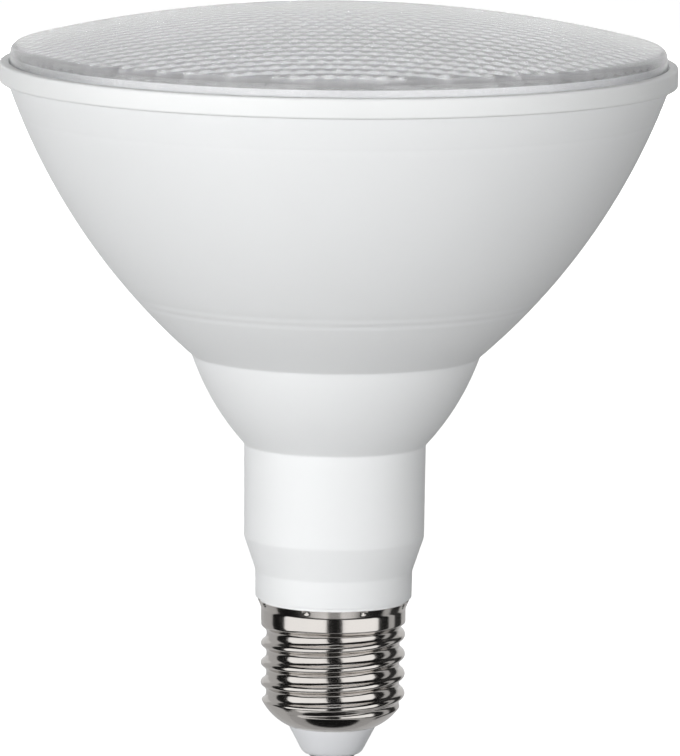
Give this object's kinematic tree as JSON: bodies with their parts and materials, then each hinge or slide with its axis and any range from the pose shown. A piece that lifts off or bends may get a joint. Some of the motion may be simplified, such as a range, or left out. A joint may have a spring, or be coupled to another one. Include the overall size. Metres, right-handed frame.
{
  "type": "reflector bulb",
  "caption": "Reflector lamp: domed clear lens in a round white housing that narrows to a neck, with a standard medium screw cap.",
  "frame": {"origin": "middle of the centre contact's flat face, at the tip of the cap", "axes": "+Z along the lamp's axis, from the cap up through the lens; -Z leads into the lampholder; the driver board lies in the XZ plane"},
  "size_m": [0.1221, 0.122, 0.1374],
  "materials": {
    "clear_lens": "clear moulded plastic, polished outside, lenslets inside",
    "silicone": "matt translucent white silicone",
    "ring_plastic": "white, satin gloss",
    "housing_plastic": "white, satin, fine moulded surface",
    "metallised": "bright metallised plastic",
    "pressed_aluminium": "pressed, plain",
    "pad_rubber": "grey gap pad",
    "white_board": "white solder mask on an aluminium core",
    "led_package": "white package with a yellow phosphor window",
    "connector_plastic": "white nylon",
    "screw_steel": "zinc plated",
    "sleeve_plastic": "white insulating plastic",
    "green_board": "green solder mask",
    "ferrite": "dark grey sintered",
    "winding_tape": "yellow winding tape",
    "capacitor_can": "dark sleeve over an aluminium can",
    "film_case": "red dipped case",
    "black_epoxy": "black epoxy",
    "resistor_coat": "grey-green coating",
    "varistor_coat": "blue dipped coating",
    "red_insulation": "red wire insulation",
    "black_insulation": "black wire insulation",
    "white_insulation": "white wire insulation",
    "nickel_plate": "bright nickel plating on rolled brass",
    "insulator_white": "white moulded insulator",
    "contact_metal": "nickel plated"
  },
  "bodies": {
    "root": {"lens": "clear_lens", "lens_seal": "silicone", "front_ring": "ring_plastic", "housing": "housing_plastic", "reflector": "metallised", "heat_sink": "pressed_aluminium", "thermal_pad": "pad_rubber", "led_board": "white_board", "led_packages": "led_package", "led_connector": "connector_plastic", "board_screws": "screw_steel", "driver_sleeve": "sleeve_plastic", "sleeve_lid": "sleeve_plastic", "driver_board": "green_board", "transformer_core": "ferrite", "transformer_coil": "winding_tape", "bulk_capacitor": "capacitor_can", "output_capacitor": "capacitor_can", "drum_choke": "ferrite", "film_capacitor": "film_case", "bridge_rectifier": "black_epoxy", "control_chip": "black_epoxy", "fusible_resistor": "resistor_coat", "varistor": "varistor_coat", "live_wire": "red_insulation", "neutral_wire": "black_insulation", "led_wires": "white_insulation", "cap_shell": "nickel_plate", "cap_insulator": "insulator_white", "centre_contact": "contact_metal"}
  },
  "joints": []
}
